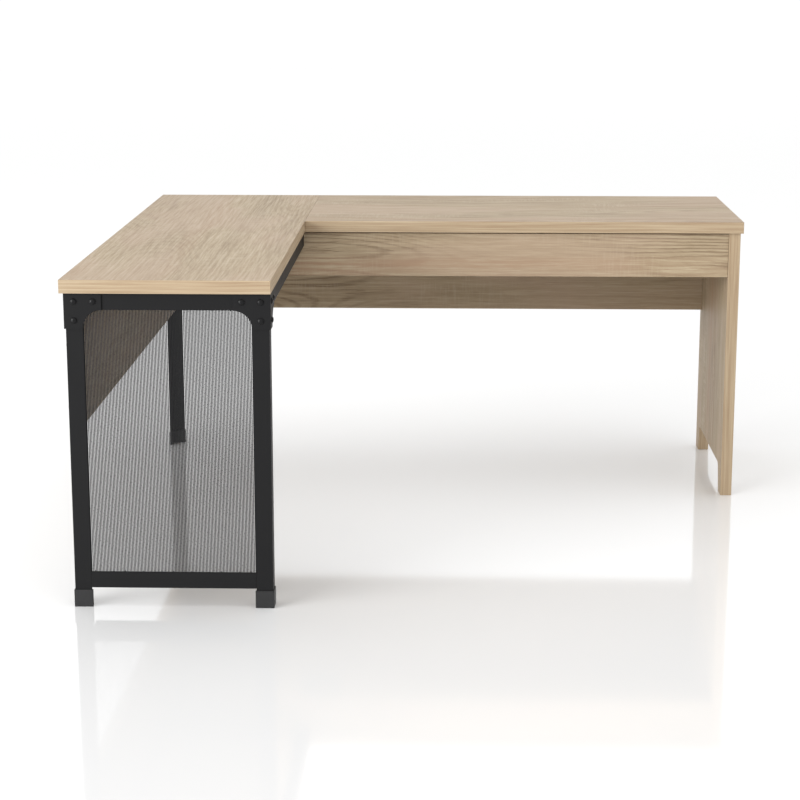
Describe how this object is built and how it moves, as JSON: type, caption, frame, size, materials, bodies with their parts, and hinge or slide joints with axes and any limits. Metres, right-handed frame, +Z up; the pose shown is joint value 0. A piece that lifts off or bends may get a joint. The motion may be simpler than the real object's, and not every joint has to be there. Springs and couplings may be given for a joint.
{
  "type": "corner desk",
  "caption": "L-shaped corner desk: laminate tops, wooden end panel, front apron and back panels, and a return on a riveted angle-iron frame with a perforated end screen.",
  "frame": {"origin": "at floor level, under the centre of the bounding box", "axes": "+X along the long desk, from the return's outer side to the wooden end; +Y towards the rear of the desk, so the return runs out towards -Y; +Z up"},
  "size_m": [1.63, 1.595, 0.75],
  "materials": {
    "oak_laminate": "pale oak-grain laminate, matt, with a fine pressed grain",
    "powder_coated_steel": "fine-textured charcoal-black powder coat",
    "perforated_steel": "charcoal-black powder coat on perforated sheet",
    "foot_plastic": "moulded black plastic, lightly textured",
    "zinc_hardware": "bright zinc plate",
    "dowel_wood": "unfinished beech"
  },
  "bodies": {
    "root": {"apron_bracket": "zinc_hardware", "apron_bracket_screw_1": "zinc_hardware", "apron_bracket_screw_2": "zinc_hardware", "apron_cam": "zinc_hardware", "apron_cam_bolt": "zinc_hardware", "apron_dowel": "dowel_wood", "back_panel_cam": "zinc_hardware", "back_panel_cam_bolt": "zinc_hardware", "back_panel_dowel": "dowel_wood", "corner_bracket": "zinc_hardware", "corner_bracket_screw_1": "zinc_hardware", "corner_bracket_screw_2": "zinc_hardware", "corner_foot_cap": "foot_plastic", "corner_leg": "powder_coated_steel", "corner_panel_bolt_1": "powder_coated_steel", "corner_panel_bolt_2": "powder_coated_steel", "corner_side_gusset": "powder_coated_steel", "corner_side_gusset_rivet_1": "powder_coated_steel", "corner_side_gusset_rivet_2": "powder_coated_steel", "corner_side_gusset_rivet_3": "powder_coated_steel", "desk_back_panel": "oak_laminate", "desk_top": "oak_laminate", "end_bottom_rail": "powder_coated_steel", "end_panel": "oak_laminate", "end_top_rail": "powder_coated_steel", "front_apron": "oak_laminate", "inner_end_gusset": "powder_coated_steel", "inner_end_gusset_rivet_1": "powder_coated_steel", "inner_end_gusset_rivet_2": "powder_coated_steel", "inner_end_gusset_rivet_3": "powder_coated_steel", "inner_front_foot_cap": "foot_plastic", "inner_front_leg": "powder_coated_steel", "inner_side_gusset": "powder_coated_steel", "inner_side_gusset_rivet_1": "powder_coated_steel", "inner_side_gusset_rivet_2": "powder_coated_steel", "inner_side_gusset_rivet_3": "powder_coated_steel", "inner_side_rail": "powder_coated_steel", "outer_end_gusset": "powder_coated_steel", "outer_end_gusset_rivet_1": "powder_coated_steel", "outer_end_gusset_rivet_2": "powder_coated_steel", "outer_end_gusset_rivet_3": "powder_coated_steel", "outer_front_foot_cap": "foot_plastic", "outer_front_leg": "powder_coated_steel", "outer_front_panel_bolt_1": "powder_coated_steel", "outer_front_panel_bolt_2": "powder_coated_steel", "outer_side_gusset": "powder_coated_steel", "outer_side_gusset_rivet_1": "powder_coated_steel", "outer_side_gusset_rivet_2": "powder_coated_steel", "outer_side_gusset_rivet_3": "powder_coated_steel", "outer_side_rail": "powder_coated_steel", "perforated_screen": "perforated_steel", "return_back_panel": "oak_laminate", "return_top": "oak_laminate", "seam_plate": "zinc_hardware", "seam_plate_screw_1": "zinc_hardware", "seam_plate_screw_2": "zinc_hardware", "seam_plate_screw_3": "zinc_hardware", "seam_plate_screw_4": "zinc_hardware", "top_screw_1": "zinc_hardware", "top_screw_2": "zinc_hardware"}
  },
  "joints": []
}
